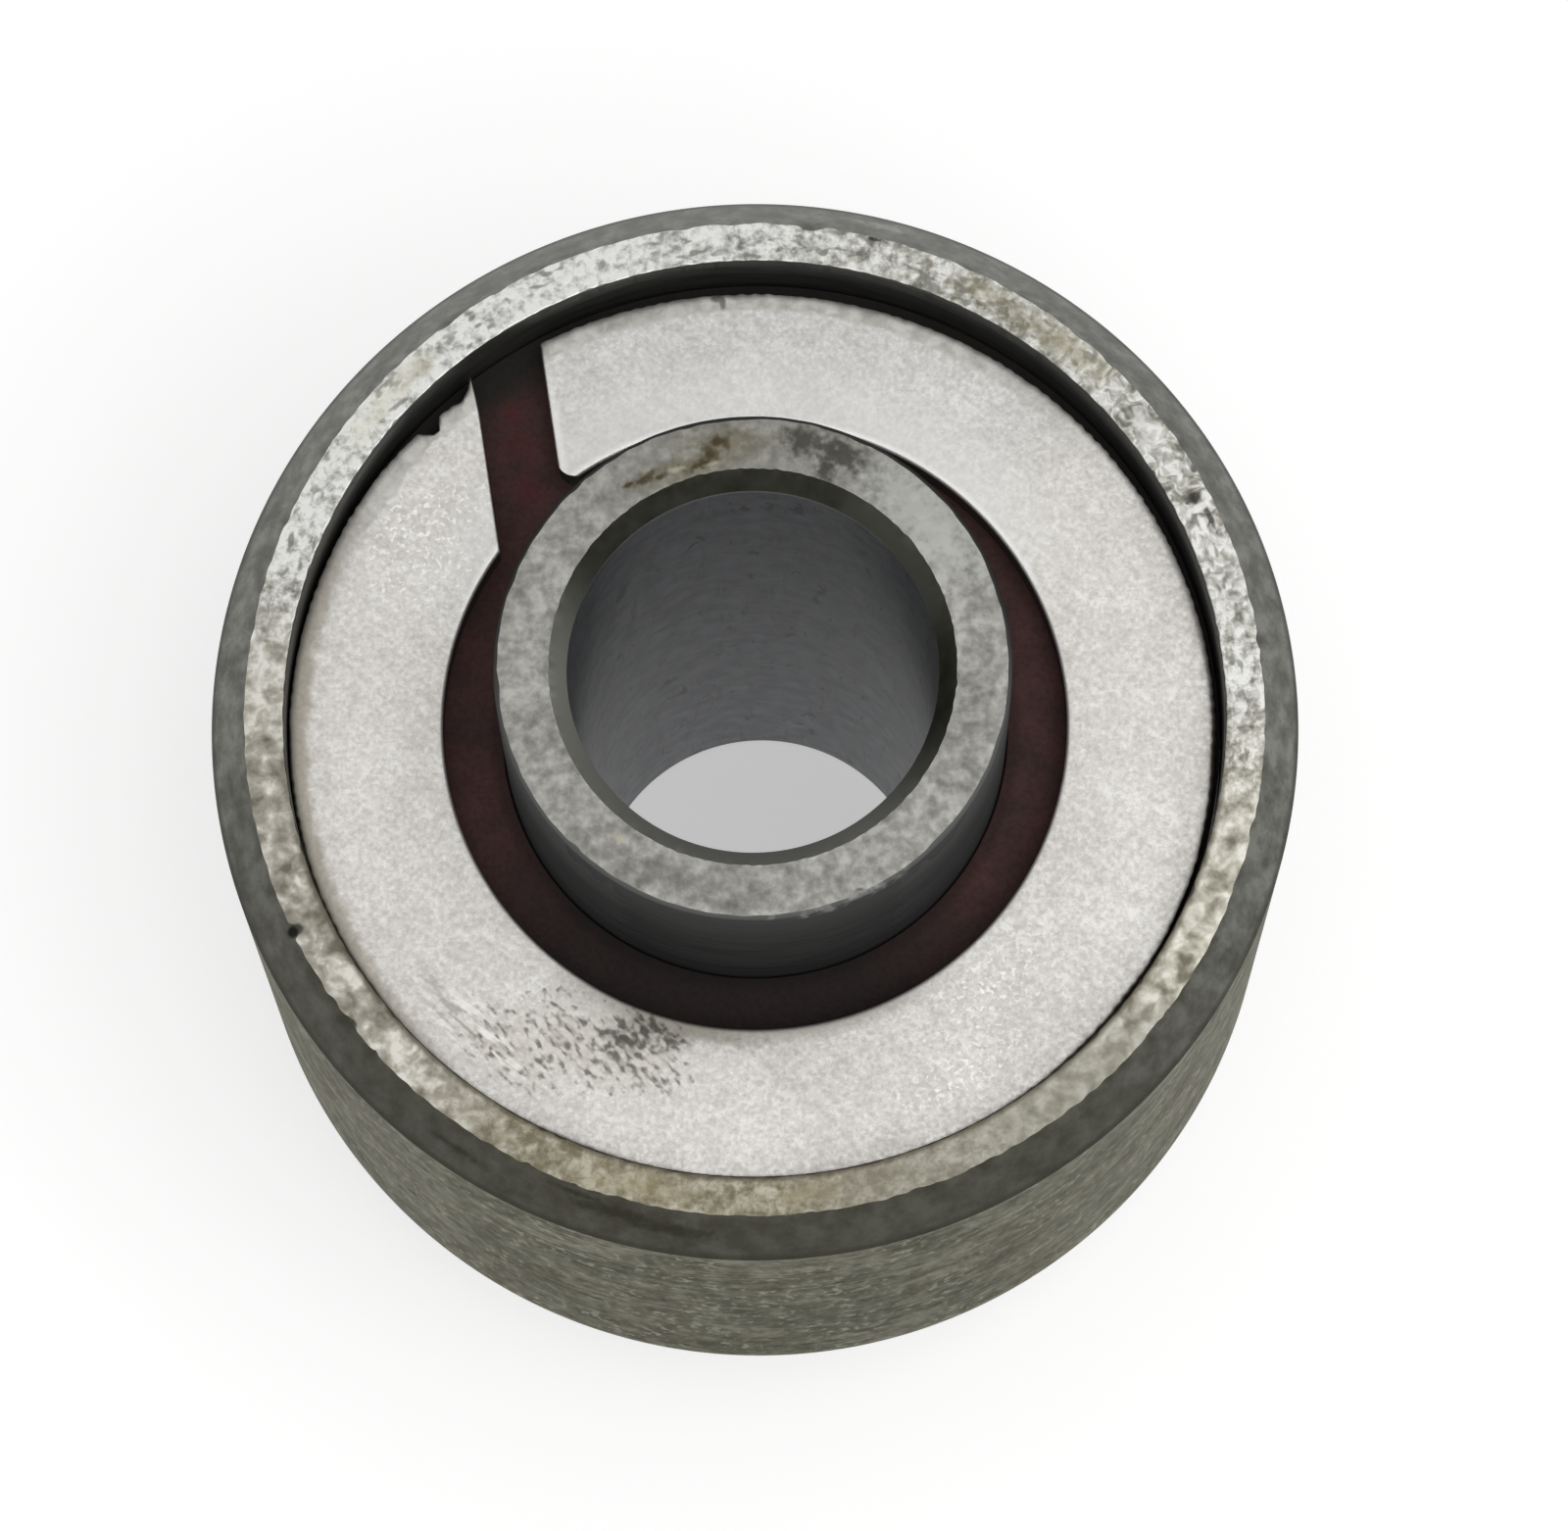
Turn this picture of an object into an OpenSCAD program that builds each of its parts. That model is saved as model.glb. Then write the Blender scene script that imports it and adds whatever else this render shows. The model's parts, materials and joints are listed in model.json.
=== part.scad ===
// Miniature double row ball bearing with a long inner ring.
// The origin is the centre of the bearing and +Z runs along its axis.
// Each end of the outer ring has a recess with a seal disc and a split plate on it.

/* [Outer ring] */
// Outside diameter of the outer ring
outer_d = 19.05; // [17:0.05:26]
// Width of the outer ring from face to face
outer_w = 12.4; // [11:0.1:20]
// Radial size of the chamfer at each outside edge
edge_chamfer_r = 0.62; // [0.2:0.02:0.8]
// Axial size of the chamfer at each outside edge
edge_chamfer_z = 0.85; // [0.3:0.05:1.2]
// Radial thickness of the rim around each end recess
rim_wall = 1.32; // [1.1:0.01:1.6]
// Radius on the mouth of each end recess
mouth_round = 0.02; // [0.01:0.01:0.12]

/* [Inner ring] */
// Diameter of the bore
bore_d = 6.35; // [5:0.05:7]
// Width of the inner ring from end face to end face
inner_w = 19.05; // [13:0.05:26]
// Radial wall of the inner ring at its two necks
neck_wall = 1.24; // [1:0.02:1.4]
// Radial size of the chamfer at each end of the bore
bore_chamfer_r = 0.3; // [0.1:0.02:0.5]
// Axial size of the chamfer at each end of the bore
bore_chamfer_z = 0.36; // [0.1:0.02:0.6]
// Radius on the outside edge of each end face
neck_round = 0.07; // [0.03:0.01:0.4]

/* [Balls and races] */
// Diameter of one ball
ball_d = 3.175; // [2.5:0.025:3.3]
// Number of balls in each row
balls_per_row = 9; // [7:1:10]
// Depth of each race groove below its shoulders
groove_depth = 0.55; // [0.3:0.01:0.7]
// Groove radius as a share of the ball diameter
groove_ratio = 0.52; // [0.51:0.005:0.54]
// Gap between a ball and the bottom of each groove
race_gap = 0.02; // [0.01:0.005:0.04]

/* [Cages] */
// Gap between a ball and its pocket
pocket_gap = 0.05; // [0.02:0.01:0.1]
// Radial gap from a cage to the shoulders of both rings
cage_side_gap = 0.25; // [0.1:0.01:0.4]
// How far the cage fingers reach past the ball centres
finger_reach = 0.45; // [0.3:0.01:0.6]
// Axial gap from a cage, and from the inner ring shoulders, to the seal
seal_inside_gap = 0.2; // [0.1:0.01:0.3]

/* [Seals] */
// Thickness of a seal disc
seal_t = 0.5; // [0.3:0.05:0.8]
// Radial gap between a seal and the neck of the inner ring
seal_lip_gap = 0.08; // [0.02:0.01:0.15]
// Radial gap between a seal and the recess wall
seal_seat_gap = 0.025; // [0.01:0.005:0.1]

/* [Split plates] */
// Thickness of a plate
plate_t = 0.6; // [0.3:0.05:0.8]
// Depth of a plate's outer side below the face of the outer ring
plate_set_back = 0.8; // [0.3:0.05:1.2]
// Radial gap between the neck of the inner ring and the hole of a plate
plate_hole_gap = 1.055; // [0.5:0.005:1.4]
// Mean radial gap between a plate and the recess wall
plate_rim_gap = 0.185; // [0.16:0.005:0.5]
// How far the rim of a plate lies off the centre of its hole
rim_shift = 0.155; // [0:0.005:0.18]
// Direction in which the rim lies off that centre
rim_shift_angle = 250; // [0:5:355]
// Radial width of the rolled rim of a plate
rim_roll_w = 0.15; // [0.05:0.01:0.4]
// Drop of the rolled rim of a plate
rim_roll_z = 0.04; // [0.02:0.01:0.2]
// Width of the slot that splits a plate
slot_w = 1.25; // [0.6:0.05:2]
// Distance from the centre of the hole to the middle line of the slot
slot_offset = 3.35; // [2:0.01:4]
// Angle between the slot of the upper plate and +Y
upper_slot_angle = 6.6; // [-180:0.1:180]
// Angle between the slot of the lower plate and +Y
lower_slot_angle = 156; // [-180:1:180]
// Radius on the slot's sharp corner at the hole of the plate
slot_corner = 0.25; // [0.05:0.01:0.4]
// Width of the nick in the rim of the upper plate
nick_w = 0.42; // [0.1:0.02:0.8]
// Depth of that nick, from the edge of the plate
nick_depth = 0.28; // [0.1:0.02:0.5]
// Direction of that nick from the centre of the rim
nick_angle = 133.7; // [120:0.1:170]

/* [Hidden] */
// Smoothness of round shapes
$fn = 96;
// How far a cut runs past what it cuts
cut = 1;
// How far a rounding circle lies inside a corner, as a share of its radius
corner_inset = 0.85;

outer_r = outer_d / 2;
outer_half = outer_w / 2;
bore_r = bore_d / 2;
inner_half = inner_w / 2;
ball_r = ball_d / 2;

// Radii of the recess and the necks
recess_r = outer_r - rim_wall;
neck_r = bore_r + neck_wall;

// Heights above the middle plane
plate_top_z = outer_half - plate_set_back;
seal_top_z = plate_top_z - plate_t;
seal_seat_z = seal_top_z - seal_t;
shoulder_z = seal_seat_z - seal_inside_gap;
row_z = seal_seat_z / 2;

// Balls run midway between the bore and the outside
pitch_r = (bore_r + outer_r) / 2;
groove_r = groove_ratio * ball_d;
outer_groove_bottom = pitch_r + ball_r + race_gap;
inner_groove_bottom = pitch_r - ball_r - race_gap;
outer_shoulder_r = outer_groove_bottom - groove_depth;
inner_shoulder_r = inner_groove_bottom + groove_depth;
ball_step = 360 / balls_per_row;

cage_in_r = inner_shoulder_r + cage_side_gap;
cage_out_r = outer_shoulder_r - cage_side_gap;
pocket_r = ball_r + pocket_gap;

plate_r = recess_r - plate_rim_gap;
plate_hole_r = neck_r + plate_hole_gap;

// What a convex corner at the origin loses when it is rounded to radius r:
// the material lies towards +X and -Y
module corner_waste(r) {
    difference() {
        translate([-cut, -r]) square([r + cut, r + cut]);
        translate([r, -r]) circle(r = r);
    }
}

// Both race grooves, as circles in the section, with their centres at radius centre_r
module groove_sections(centre_r) {
    for (side = [-1, 1]) translate([centre_r, side * row_z]) circle(r = groove_r);
}

// Section of the outer ring above and below the middle plane
module outer_ring_section() {
    difference() {
        polygon([
            [outer_shoulder_r, -seal_seat_z],
            [recess_r, -seal_seat_z],
            [recess_r, -outer_half],
            [outer_r - edge_chamfer_r, -outer_half],
            [outer_r, edge_chamfer_z - outer_half],
            [outer_r, outer_half - edge_chamfer_z],
            [outer_r - edge_chamfer_r, outer_half],
            [recess_r, outer_half],
            [recess_r, seal_seat_z],
            [outer_shoulder_r, seal_seat_z]
        ]);
        groove_sections(outer_groove_bottom - groove_r);
        translate([recess_r, outer_half]) corner_waste(mouth_round);
        mirror([0, 1]) translate([recess_r, outer_half]) corner_waste(mouth_round);
    }
}

module outer_ring() {
    color([0.42, 0.42, 0.39]) rotate_extrude() outer_ring_section();
}

// Section of the inner ring: a thick middle with both grooves and a neck at each end
module inner_ring_section() {
    difference() {
        polygon([
            [bore_r, bore_chamfer_z - inner_half],
            [bore_r + bore_chamfer_r, -inner_half],
            [neck_r, -inner_half],
            [neck_r, -shoulder_z],
            [inner_shoulder_r, -shoulder_z],
            [inner_shoulder_r, shoulder_z],
            [neck_r, shoulder_z],
            [neck_r, inner_half],
            [bore_r + bore_chamfer_r, inner_half],
            [bore_r, inner_half - bore_chamfer_z]
        ]);
        groove_sections(inner_groove_bottom + groove_r);
        for (side = [0, 1])
            mirror([0, side]) translate([neck_r, inner_half]) mirror([1, 0]) corner_waste(neck_round);
    }
}

module inner_ring() {
    color([0.55, 0.55, 0.53]) rotate_extrude() inner_ring_section();
}

// Flat seal disc that lies on the seat at the foot of the upper recess
module seal() {
    inside_r = neck_r + seal_lip_gap;
    outside_r = recess_r - seal_seat_gap;
    translate([0, 0, seal_seat_z]) difference() {
        cylinder(r = outside_r, h = seal_t);
        translate([0, 0, -cut]) cylinder(r = inside_r, h = seal_t + 2 * cut);
    }
}

module upper_seal() {
    color([0.22, 0.12, 0.11]) seal();
}

module lower_seal() {
    color([0.22, 0.12, 0.11]) mirror([0, 0, 1]) seal();
}

// What the sharp corner between the slot and the hole of the plate loses when it is rounded.
// The corner lies where the line x = edge_x meets the hole, with the plate on the +X side.
// The rounding circle reaches a little over both edges, so that it leaves no sliver.
module slot_corner_waste(edge_x) {
    inset = corner_inset * slot_corner;
    centre_x = edge_x + inset;
    centre_dist = plate_hole_r + inset;
    centre_y = sqrt(pow(centre_dist, 2) - pow(centre_x, 2));
    inside = (plate_hole_r - slot_corner) / centre_dist;
    difference() {
        polygon([
            [centre_x, centre_y],
            [edge_x - slot_corner, centre_y],
            [edge_x - slot_corner, centre_y * inside - slot_corner],
            [centre_x * inside, centre_y * inside]
        ]);
        translate([centre_x, centre_y]) circle(r = slot_corner);
    }
}

// The slot, seen from above: it runs towards +Y at one side of the plate's hole
module slot_outline() {
    translate([-slot_offset - slot_w / 2, 0]) square([slot_w, plate_r + rim_shift + cut]);
    slot_corner_waste(-slot_offset + slot_w / 2);
}

// Moves to the centre of the rim of a plate
module at_rim() {
    rotate(rim_shift_angle) translate([rim_shift, 0]) rotate(-rim_shift_angle) children();
}

// Split plate that lies on the upper seal. Its hole is on the bearing's axis, and its rim,
// rolled down at the edge, lies a little off it.
module split_plate(slot_angle) {
    translate([0, 0, seal_top_z]) difference() {
        at_rim() rotate_extrude() polygon([
            [0, 0],
            [plate_r, 0],
            [plate_r, plate_t - rim_roll_z],
            [plate_r - rim_roll_w, plate_t],
            [0, plate_t]
        ]);
        translate([0, 0, -cut]) cylinder(r = plate_hole_r, h = plate_t + 2 * cut);
        translate([0, 0, -cut]) linear_extrude(plate_t + 2 * cut) rotate(slot_angle) slot_outline();
    }
}

module upper_plate() {
    color([0.80, 0.79, 0.77]) difference() {
        split_plate(upper_slot_angle);
        at_rim() rotate(nick_angle) translate([plate_r - nick_depth, -nick_w / 2, seal_top_z - cut])
            cube([nick_depth + cut, nick_w, plate_t + 2 * cut]);
    }
}

module lower_plate() {
    color([0.80, 0.79, 0.77]) mirror([0, 0, 1]) split_plate(lower_slot_angle);
}

// Crown cage of the upper row: one ring with a round pocket for each ball,
// open towards the middle plane
module cage() {
    foot_z = row_z - finger_reach;
    difference() {
        translate([0, 0, foot_z]) difference() {
            cylinder(r = cage_out_r, h = shoulder_z - foot_z);
            translate([0, 0, -cut]) cylinder(r = cage_in_r, h = shoulder_z - foot_z + 2 * cut);
        }
        for (i = [1:balls_per_row]) at_ball(i) sphere(r = pocket_r);
    }
}

// Place of ball number i of the upper row
module at_ball(i) {
    rotate((i - 1) * ball_step) translate([pitch_r, 0, row_z]) children();
}

// The lower row lies mirrored and turned by half a ball step
module to_lower_row() {
    mirror([0, 0, 1]) rotate(ball_step / 2) children();
}

module upper_cage() {
    color([0.86, 0.82, 0.68]) cage();
}

module lower_cage() {
    color([0.86, 0.82, 0.68]) to_lower_row() cage();
}

module upper_ball(i) {
    color([0.75, 0.76, 0.78]) at_ball(i) sphere(r = ball_r);
}

module lower_ball(i) {
    color([0.75, 0.76, 0.78]) to_lower_row() at_ball(i) sphere(r = ball_r);
}

outer_ring();
inner_ring();
upper_seal();
lower_seal();
upper_plate();
lower_plate();
upper_cage();
lower_cage();
for (i = [1:balls_per_row]) {
    upper_ball(i);
    lower_ball(i);
}
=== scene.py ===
import json
import math
import bpy
import numpy as np
from mathutils import Matrix, Vector


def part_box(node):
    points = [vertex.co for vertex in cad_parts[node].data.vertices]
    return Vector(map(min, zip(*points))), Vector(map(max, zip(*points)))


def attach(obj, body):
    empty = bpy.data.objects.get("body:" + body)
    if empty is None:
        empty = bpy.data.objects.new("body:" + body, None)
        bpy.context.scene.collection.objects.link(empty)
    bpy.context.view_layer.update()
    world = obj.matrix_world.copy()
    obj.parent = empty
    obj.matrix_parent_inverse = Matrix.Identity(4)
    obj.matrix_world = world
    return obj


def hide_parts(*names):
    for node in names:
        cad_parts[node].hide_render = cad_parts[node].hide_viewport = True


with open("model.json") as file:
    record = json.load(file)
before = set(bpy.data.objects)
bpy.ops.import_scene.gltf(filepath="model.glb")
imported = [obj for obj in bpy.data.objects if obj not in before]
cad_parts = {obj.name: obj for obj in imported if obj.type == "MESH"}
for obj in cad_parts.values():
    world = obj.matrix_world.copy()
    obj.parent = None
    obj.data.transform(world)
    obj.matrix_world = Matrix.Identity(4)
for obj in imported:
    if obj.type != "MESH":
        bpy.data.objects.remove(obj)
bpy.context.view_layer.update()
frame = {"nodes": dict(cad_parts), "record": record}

# Lengths below are in millimetres, and meshes are made in metres
MM = 0.001


# Sizes that the frame gives
def mount(name):
    """The record's mount of that name."""
    return next(m for m in frame["record"]["mounts"] if m["name"] == name)


def heights(node):
    """Lowest and highest point of a CAD node."""
    low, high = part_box(node)
    return low.z / MM, high.z / MM


outer_r = mount("outside_diameter")["dims"]["r_mm"]
bore_r = mount("bore")["dims"]["r_mm"]
outer_half = mount("outer_ring_top_face")["pos_m"][2] / MM
inner_half = mount("inner_ring_top_face")["pos_m"][2] / MM
seal_seat_z, seal_top_z = heights("upper_seal")
plate_top_z = heights("upper_plate")[1]

# Sizes of the outer ring
edge_chamfer_r = 0.62
edge_chamfer_z = 0.85
recess_r = 8.205
mouth_round = 0.02
outer_shoulder_r = 7.4075
outer_groove_bottom = 7.9575

# Sizes of the inner ring
neck_r = 4.415
neck_round = 0.07
bore_chamfer_r = 0.3
bore_chamfer_z = 0.36
shoulder_z = 4.1
inner_shoulder_r = 5.2925
inner_groove_bottom = 4.7425

# Race grooves
groove_r = 1.651
row_z = 2.15

# Sizes of the seals
seal_in_r = 4.435
seal_out_r = 8.18
seal_edge = 0.03

# Sizes of the split plates. The hole is on the axis, and the rim lies a little off it.
plate_r = 8.02
plate_hole_r = 5.47
rim_shift = 0.155
rim_shift_angle = math.radians(250)
rim_oval = 0.13
rim_oval_angle = math.radians(-6)
rim_oval_level = 0.2
rim_roll_w = 0.15
rim_roll_z = 0.04
slot_w = 1.25
slot_offset = 3.35
upper_slot_angle = math.radians(6.6)
lower_slot_angle = math.radians(156)
slot_corner = 0.3
corner_inset = 0.97 * slot_corner
corner_margin = 0.1
plate_edge = 0.05

# Wear of the outer ring: mean depths, how far the waves of the face's edge go, and the most there is
face_edge_wear = 0.014
face_edge_wave = 0.010
face_edge_most = 0.18
mouth_wear = 0.008
mouth_most = 0.05
# Shares of that wear by which the points beside the edges follow
chamfer_follows_z = 0.45
chamfer_follows_r = 0.33
mouth_follows_z = 0.4

# Pits in the edge of the upper face: angles, and a list of angle, half width in degrees and depth
deep_pit_angle = -156.1
left_pit_angle = -143.6
far_pit_angle = 81.5
edge_pits = ((deep_pit_angle, 0.9, 0.17), (left_pit_angle, 1.2, 0.05), (far_pit_angle, 1.6, 0.05))

# Wear of the inner ring's end faces
neck_edge_wave = 0.007
bore_edge_wave = 0.005

# The nick in the rim of the upper plate, seen from the axis. Its floor is a share of its width.
nick_angle = 134.7
nick_w = 0.5
nick_floor = 0.3
nick_depth = 0.2
# Wear of that rim, how far its edge waves up and down, and the share of the plate's width that it reaches
rim_wear = 0.008
rim_wave = 0.01
rim_worn_share = 0.24
# Rim of the upper plate beside the slot: degrees past the slot's edge, and how far the rim stands out
spike_outline = ((0, 0.13), (1.1, -0.02), (2.6, -0.13), (6, -0.07), (12, -0.03), (18, 0))


# Profiles: lists of (radius, height, zone), counter-clockwise with the radius to the right
def path(start, *legs):
    """Points on joined lines. A leg is (radius, height, steps, zone): its end, which is left out, how
    many points it gives, and the material after each of them."""
    points = []
    for end_r, end_z, steps, zone in legs:
        r, z = start
        points += [(r + s * (end_r - r), z + s * (end_z - z), zone) for s in np.arange(steps) / steps]
        start = (end_r, end_z)
    return points


def arc(centre, radius, start, end, steps, zone):
    """Points on an arc from the start angle towards the end angle, in degrees, without the end."""
    angles = np.radians(start + (end - start) * np.arange(steps) / steps)
    return [(centre[0] + radius * math.cos(a), centre[1] + radius * math.sin(a), zone) for a in angles]


def closed_profile(middle, upper, last, zone):
    """Joins a middle strip, the upper half and its mirror image. The zone joins last to its own image."""
    points = upper + [(last[0], last[1], zone)]
    lower = [(points[i][0], -points[i][1], points[i - 1][2]) for i in range(len(points) - 1, 0, -1)]
    return middle + points + lower


# Wear round the axis
def ripple(angle, low, high, seed):
    """Smooth random wave round the axis, about -1 to 1, that closes on itself."""
    draw = np.random.default_rng(seed)
    waves = 28
    counts = draw.integers(low, high, waves)
    phases = draw.uniform(0, 2 * math.pi, waves)
    total = sum(np.sin(n * angle + p) for n, p in zip(counts, phases))
    return total / math.sqrt(waves)


def chips(angle, count, width, depth, seed):
    """Depth of random nicks round the axis. Width, in degrees, and depth are (least, most) pairs."""
    draw = np.random.default_rng(seed)
    worn = np.zeros_like(angle)
    for _ in range(count):
        place = draw.uniform(-math.pi, math.pi)
        half = math.radians(draw.uniform(*width)) / 2
        deep = draw.uniform(*depth)
        worn = np.maximum(worn, deep * dent(angle, place, half))
    return worn


def dent(angle, place, half):
    """A round dip from 1 at place to 0 at half a width away, all in radians."""
    away = (angle - place + math.pi) % (2 * math.pi) - math.pi
    return np.clip(1 - (away / half) ** 2, 0, 1)


def worn_face(r, on_face, inner_edge, outer_edge, inside, outside):
    """Radii of the points of a flat face whose inner and outer edges are worn back by some depths."""
    share = np.clip((r - inner_edge) / (outer_edge - inner_edge), 0, 1)
    return np.where(on_face, r - outside * share ** 3 + inside * (1 - share) ** 3, r)


# Meshes
smooth_angle = math.radians(30)


def new_piece(name, vertices, faces, zone_of_face, materials):
    """A mesh object with one material per zone, smooth except at sharp edges."""
    mesh = bpy.data.meshes.new(name)
    mesh.from_pydata(vertices, [], faces)
    for material in materials:
        mesh.materials.append(material)
    mesh.polygons.foreach_set("material_index", zone_of_face)
    mesh.polygons.foreach_set("use_smooth", [True] * len(faces))
    mesh.set_sharp_from_angle(angle=smooth_angle)
    mesh.update()
    piece = bpy.data.objects.new(name, mesh)
    bpy.context.scene.collection.objects.link(piece)
    return piece


def vertices_at(turn, r, z):
    """Vertices in metres, from their angles round the axis, radii and heights."""
    return (np.stack([r * np.cos(turn), r * np.sin(turn), z], -1).reshape(-1, 3) * MM).tolist()


def lathe(name, profile, materials, segments, wear=None):
    """Turns a closed profile round +Z. The zones in the profile are names of the materials given."""
    names = list(materials)
    angle = np.arange(segments) * 2 * math.pi / segments
    r = np.repeat(np.array([[p[0]] for p in profile]), segments, 1)
    z = np.repeat(np.array([[p[1]] for p in profile]), segments, 1)
    turn = np.repeat(angle[None, :], len(profile), 0)
    if wear:
        r, z = wear(turn, r, z)
    row = np.arange(len(profile))[:, None] * segments
    next_row = np.roll(row, -1, 0)
    column = np.arange(segments)[None, :]
    next_column = np.roll(column, -1, 1)
    corners = [row + column, row + next_column, next_row + next_column, next_row + column]
    faces = np.stack(corners, -1).reshape(-1, 4).tolist()
    zones = np.repeat([names.index(p[2]) for p in profile], segments).tolist()
    return new_piece(name, vertices_at(turn, r, z), faces, zones, list(materials.values()))


# Materials
def tone(red, green, blue):
    """A colour written as 0 to 255 in sRGB, as linear RGBA."""
    parts = [c / 255 for c in (red, green, blue)]
    return [c / 12.92 if c <= 0.04045 else ((c + 0.055) / 1.055) ** 2.4 for c in parts] + [1]


def feed(tree, socket, value):
    """Links a node's output to a socket, or sets a plain value."""
    if isinstance(value, bpy.types.NodeSocket):
        tree.links.new(value, socket)
    else:
        socket.default_value = value


def add(tree, kind, *values, **named):
    """A new node. Values feed its sockets in order, and named ones by name."""
    node = tree.nodes.new(kind)
    for key, value in list(enumerate(values)) + list(named.items()):
        feed(tree, node.inputs[key], value)
    return node


# Lumps per millimetre in the ragged edge of a spot
spot_grain = 7.0


class Paint:
    """A procedural material that is put together node by node. Places are in millimetres, and angles in
    degrees round the axis: 0 at the right, 90 at the far side and -90 at the near side. A mask is 1 where
    something is and 0 elsewhere. The colour is what has been laid on so far."""

    def __init__(self, name, metallic=1.0, roughness=0.45, specular=0.5, edge_tint=(1, 1, 1, 1)):
        self.material = bpy.data.materials.new(name)
        self.material.use_nodes = True
        self.tree = self.material.node_tree
        self.shader = self.tree.nodes["Principled BSDF"]
        look = {"Metallic": metallic, "Roughness": roughness, "Specular IOR Level": specular,
                "Specular Tint": edge_tint}
        for key, value in look.items():
            self.shader.inputs[key].default_value = value
        coordinates = self.add("ShaderNodeTexCoord").outputs["Object"]
        self.place = self.vector("MULTIPLY", coordinates, (1 / MM, 1 / MM, 1 / MM))
        self.x, self.y, self.z = self.add("ShaderNodeSeparateXYZ", Vector=self.place).outputs
        self.flat = self.vector("MULTIPLY", self.place, (1, 1, 0))
        self.radius = self.vector("LENGTH", self.flat)
        self.height = self.number("ABSOLUTE", self.z)
        self.colour = None

    def feed(self, socket, value):
        feed(self.tree, socket, value)

    def add(self, kind, *values, **named):
        return add(self.tree, kind, *values, **named)

    def vector(self, operation, *values):
        """What an operation on vectors gives."""
        node = self.add("ShaderNodeVectorMath", *values)
        node.operation = operation
        return node.outputs["Value" if operation in ("LENGTH", "DOT_PRODUCT") else "Vector"]

    def number(self, operation, *values):
        """What an operation on numbers gives."""
        node = self.add("ShaderNodeMath", *values)
        node.operation = operation
        return node.outputs[0]

    def times(self, first, second):
        return self.number("MULTIPLY", first, second)

    def lift(self, level, mask, change):
        """Adds a change to a level where the mask is."""
        return self.number("ADD", level, self.times(mask, change))

    def stir(self, level, part, share):
        """Moves a level by a share of how far a noise is from its middle."""
        return self.lift(level, self.number("SUBTRACT", part, 0.5), share)

    def between(self, share, first, second):
        """Goes from the first value to the second one by a share."""
        return self.lift(first, share, self.number("SUBTRACT", second, first))

    def turned(self, angle):
        """The place, turned back round the axis by an angle in degrees."""
        node = self.add("ShaderNodeVectorRotate", Vector=self.place, Angle=-math.radians(angle))
        node.rotation_type = "Z_AXIS"
        return node.outputs[0]

    def noise(self, scale, detail=2.0, roughness=0.5, distortion=0.0, stretch=(1, 1, 1), shift=0.0,
              turn=0.0):
        """Noise around 0.5. The scale is in lumps per millimetre, and shift picks another pattern.
        Turn, in degrees, is the direction in the plane that the first stretch runs along."""
        where = self.turned(turn) if turn else self.place
        where = self.vector("MULTIPLY_ADD", where, stretch, (shift, shift, shift))
        node = self.add("ShaderNodeTexNoise", Vector=where, Scale=scale, Detail=detail,
                        Roughness=roughness, Distortion=distortion)
        return node.outputs[0]

    def around(self, scale, along, detail=2.0, shift=0.0):
        """Noise whose lumps are drawn out round the axis. Along is their scale that way, as a share."""
        turn = self.number("ARCTAN2", self.y, self.x)
        reach = self.times(self.radius, along)
        ring = self.add("ShaderNodeCombineXYZ", self.times(self.number("COSINE", turn), reach),
                        self.times(self.number("SINE", turn), reach), self.z)
        where = self.vector("ADD", ring.outputs[0], (shift, shift, shift))
        across = self.add("ShaderNodeCombineXYZ", 0.0, 0.0, self.radius)
        where = self.vector("ADD", where, across.outputs[0])
        return self.add("ShaderNodeTexNoise", Vector=where, Scale=scale, Detail=detail).outputs[0]

    def fade(self, value, start, end, low=0.0, high=1.0):
        """Goes smoothly from low to high as value goes from start to end."""
        node = self.add("ShaderNodeMapRange", value, start, end, low, high)
        node.interpolation_type = "SMOOTHSTEP"
        return node.outputs[0]

    def ramp(self, value, *stops):
        """Colour ramp. A stop is (position, red, green, blue)."""
        node = self.add("ShaderNodeValToRGB", value)
        elements = node.color_ramp.elements
        for stop in stops[2:]:
            elements.new(stop[0])
        for element, (position, *colour) in zip(elements, stops):
            element.position = position
            element.color = tone(*colour)
        return node.outputs[0]

    def mix(self, share, first, second, blend="MIX"):
        """Mixes two colours."""
        node = self.tree.nodes.new("ShaderNodeMix")
        node.data_type = "RGBA"
        node.blend_type = blend
        for key, value in ((0, share), (6, first), (7, second)):
            self.feed(node.inputs[key], value)
        return node.outputs[2]

    def towards(self, angle, start, end):
        """1 on the side of the axis at that angle, in degrees. Start and end are shares of the radius."""
        a = math.radians(angle)
        along = self.vector("DOT_PRODUCT", self.place, (math.cos(a), math.sin(a), 0))
        return self.fade(self.number("DIVIDE", along, self.radius), start, end)

    def spot(self, angle, radius, height, along, across, ragged=0.4, core=0.45, deep=0.5):
        """1 at a place on the part and 0 past its reach along and across the round, with a ragged edge.
        Core is the share of the reach that is 1 all over."""
        away = self.vector("SUBTRACT", self.turned(angle), (radius, 0, height))
        away = self.vector("LENGTH", self.vector("DIVIDE", away, (across, along, deep)))
        uneven = self.stir(away, self.noise(spot_grain, shift=angle), 4 * ragged)
        return self.fade(uneven, 1.0, core)

    def spots(self, height, places, **look):
        """Spots at one height. A place is (angle, radius, along, across), and can add ragged and core."""
        return self.most(*[self.spot(place[0], place[1], height, *place[2:], **look) for place in places])

    def cover(self, mask, stain, blend="MIX"):
        """Lays a stain over the paint's colour where the mask is."""
        self.colour = self.mix(mask, self.colour, stain, blend)

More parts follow.
